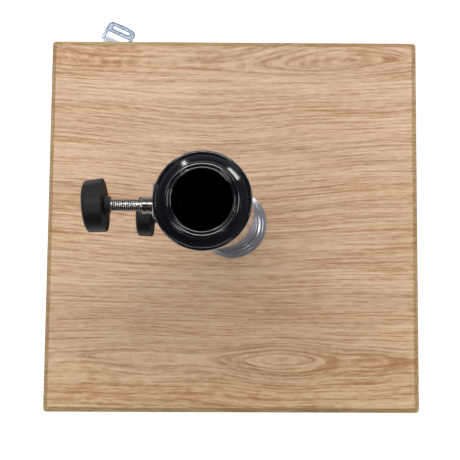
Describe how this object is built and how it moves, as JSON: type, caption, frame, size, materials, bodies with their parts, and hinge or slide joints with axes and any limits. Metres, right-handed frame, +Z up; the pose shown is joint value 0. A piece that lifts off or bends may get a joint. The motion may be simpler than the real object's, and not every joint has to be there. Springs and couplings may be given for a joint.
{
  "type": "pole clamp stand",
  "caption": "Square bevelled oak board with an upright polished tube, nested pole reducers in a black collar, side thumbscrews that clamp the pole, and a swivelling strap buckle.",
  "frame": {"origin": "on the floor, under the tube's axis and the board's centre", "axes": "+Z up along the tube; both screws point to -X; the strap leaves past the +Y edge"},
  "size_m": [0.4, 0.4299, 0.5199],
  "materials": {
    "oak": "oiled oak, fine straight grain",
    "foot_rubber": "matt black rubber",
    "zinc_steel": "bright zinc plate",
    "polished_tube": "mirror-polished steel",
    "ring_steel": "pressed and polished steel",
    "plug_steel": "plain turned steel",
    "rail_steel": "satin steel",
    "collar_plastic": "glossy black moulding",
    "knob_plastic": "satin black moulding",
    "pad_plastic": "black nylon",
    "webbing": "pale woven webbing",
    "eyelet_brass": "plain brass",
    "buckle_steel": "bluish zinc plate"
  },
  "bodies": {
    "stand": {"board": "oak", "rubber_feet": "foot_rubber", "foot_screws": "zinc_steel", "centre_bolt": "zinc_steel", "bolt_washer": "zinc_steel", "tube": "polished_tube", "tube_plug": "plug_steel", "trim_ring": "ring_steel", "clamp_rail": "rail_steel", "upper_boss": "rail_steel", "lower_boss": "rail_steel", "collar": "collar_plastic", "strap_screw": "zinc_steel", "strap_washer": "zinc_steel"},
    "upper_pad": {"upper_tip_pad": "pad_plastic"},
    "upper_clamp": {"upper_screw": "zinc_steel", "upper_knob": "knob_plastic"},
    "lower_pad": {"lower_tip_pad": "pad_plastic"},
    "lower_clamp": {"lower_screw": "zinc_steel", "lower_knob": "knob_plastic"},
    "outer_sleeve": {"outer_reducer": "collar_plastic"},
    "inner_sleeve": {"inner_reducer": "collar_plastic"},
    "strap": {"strap_eyelet": "eyelet_brass", "webbing_tab": "webbing"},
    "buckle": {"buckle": "buckle_steel"}
  },
  "joints": [
    {"name": "upper_travel", "type": "slide", "parent": "stand", "child": "upper_pad", "axis": [1, 0, 0], "range_m": [-0.0081, 0.0197]},
    {"name": "upper_turn", "type": "hinge", "parent": "upper_pad", "child": "upper_clamp", "pos_m": [-0.07, 0, 0.453], "axis": [1, 0, 0], "range_deg": [-2304, 5652]},
    {"name": "lower_travel", "type": "slide", "parent": "stand", "child": "lower_pad", "axis": [1, 0, 0], "range_m": [-0.0138, 0.0139]},
    {"name": "lower_turn", "type": "hinge", "parent": "lower_pad", "child": "lower_clamp", "pos_m": [-0.064, 0, 0.251], "axis": [1, 0, 0], "range_deg": [-3960, 3996]},
    {"name": "outer_lift", "type": "slide", "parent": "stand", "child": "outer_sleeve", "axis": [0, 0, 1], "range_m": [0, 0.06]},
    {"name": "inner_lift", "type": "slide", "parent": "outer_sleeve", "child": "inner_sleeve", "axis": [0, 0, 1], "range_m": [0, 0.06]},
    {"name": "strap_swivel", "type": "hinge", "parent": "stand", "child": "strap", "pos_m": [-0.15673, 0.16018, 0.0066], "axis": [0, 0, 1], "range_deg": [-35, 18]},
    {"name": "buckle_swing", "type": "hinge", "parent": "strap", "child": "buckle", "pos_m": [-0.1356, 0.2055, 0.0066], "axis": [0.9063, -0.4226, 0], "range_deg": [-8, 32]}
  ],
  "couplings": [
    {"joint": "upper_travel", "follows": "upper_turn", "m_per_rad": 0.00019894},
    {"joint": "lower_travel", "follows": "lower_turn", "m_per_rad": 0.00019894}
  ]
}
